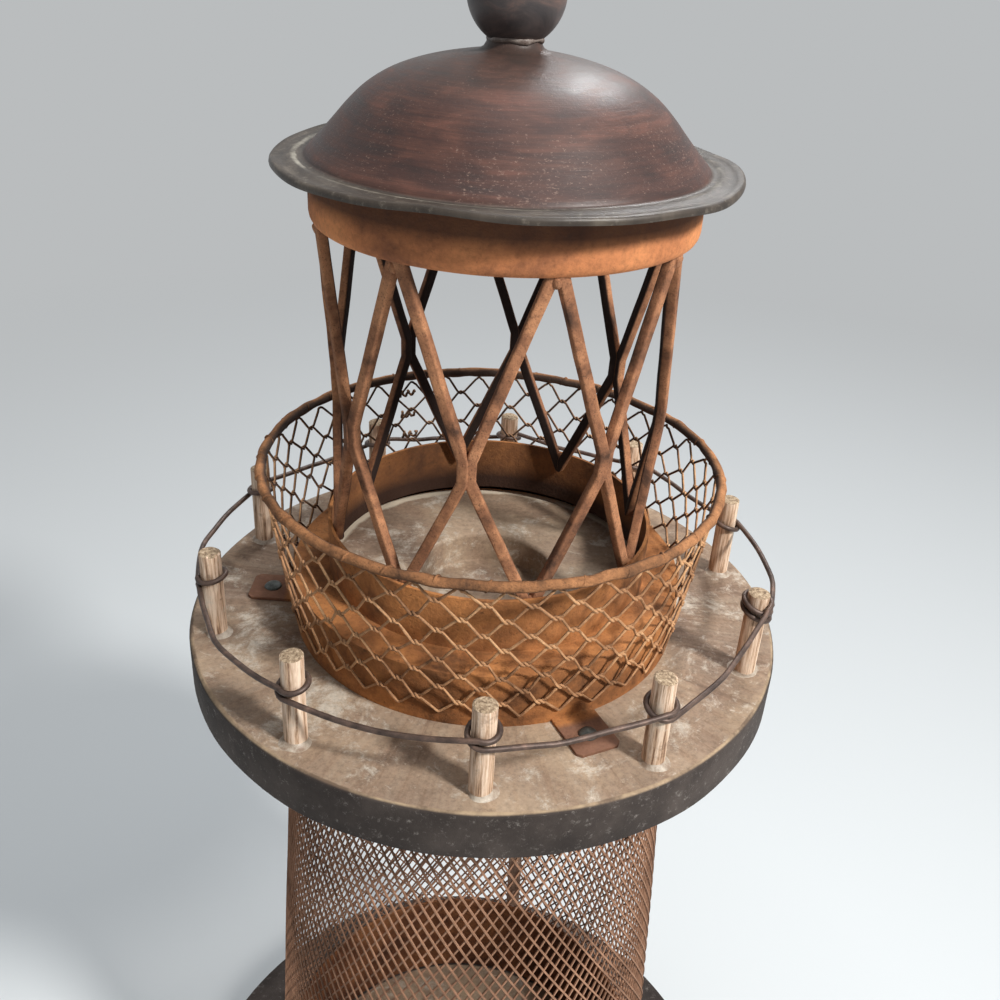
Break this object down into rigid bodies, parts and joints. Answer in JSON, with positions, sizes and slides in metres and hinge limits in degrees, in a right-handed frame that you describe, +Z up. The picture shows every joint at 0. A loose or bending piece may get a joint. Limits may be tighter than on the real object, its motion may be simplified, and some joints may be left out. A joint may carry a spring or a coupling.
{
  "type": "lighthouse candle lantern",
  "caption": "Rustic lighthouse candle lantern: mesh tower on a round wooden base, railed deck with a net gallery, lattice lantern room and a lift-off domed roof.",
  "frame": {"origin": "middle of the underside of the base board, on the surface it stands on", "axes": "+Z up along the tower; -Y is the side the picture is taken from, +X to its right"},
  "size_m": [0.23, 0.23, 0.4757],
  "materials": {
    "dark_wood": "dark stain, matte",
    "deck_wood": "whitewashed, matte",
    "raw_wood": "raw dowel",
    "rust": "orange rust, matte",
    "dark_rust": "brown rust, matte",
    "iron_wire": "dark annealed wire",
    "nail_steel": "dull grey",
    "roof_paint": "brown brushed paint, semi-gloss",
    "ball_paint": "brown brushed paint, semi-gloss"
  },
  "bodies": {
    "tower": {"base_disc": "dark_wood", "base_collar": "rust", "tower_mesh": "rust", "mesh_seam": "dark_rust", "tower_top_band": "rust"},
    "gallery": {"deck": "deck_wood", "deck_plug": "dark_wood", "candle_disc": "deck_wood", "gallery_ring": "rust", "gallery_nails": "nail_steel", "gallery_net": "dark_rust", "gallery_hoop": "rust", "rail_wire": "iron_wire", "rail_post_01": "raw_wood", "rail_post_02": "raw_wood", "rail_post_03": "raw_wood", "rail_post_04": "raw_wood", "rail_post_05": "raw_wood", "rail_post_06": "raw_wood", "rail_post_07": "raw_wood", "rail_post_08": "raw_wood", "rail_post_09": "raw_wood", "rail_post_10": "raw_wood", "lattice_bar_01": "dark_rust", "lattice_bar_02": "dark_rust", "lattice_bar_03": "dark_rust", "lattice_bar_04": "dark_rust", "lattice_bar_05": "dark_rust", "lattice_bar_06": "dark_rust", "lattice_bar_07": "dark_rust", "lattice_bar_08": "dark_rust", "lattice_bar_09": "dark_rust", "lattice_bar_10": "dark_rust", "lattice_bar_11": "dark_rust", "lattice_bar_12": "dark_rust", "lattice_bar_13": "dark_rust", "lattice_bar_14": "dark_rust", "lattice_bar_15": "dark_rust", "lattice_bar_16": "dark_rust", "lantern_band": "rust"},
    "roof": {"roof_dome": "roof_paint", "roof_skirt": "rust", "finial_ball": "ball_paint", "finial_screw": "nail_steel"}
  },
  "joints": [
    {"name": "deck_lift", "type": "slide", "parent": "tower", "child": "gallery", "axis": [0, 0, 1], "range_m": [0, 0.08]},
    {"name": "roof_lift", "type": "slide", "parent": "gallery", "child": "roof", "axis": [0, 0, 1], "range_m": [0, 0.08]}
  ]
}
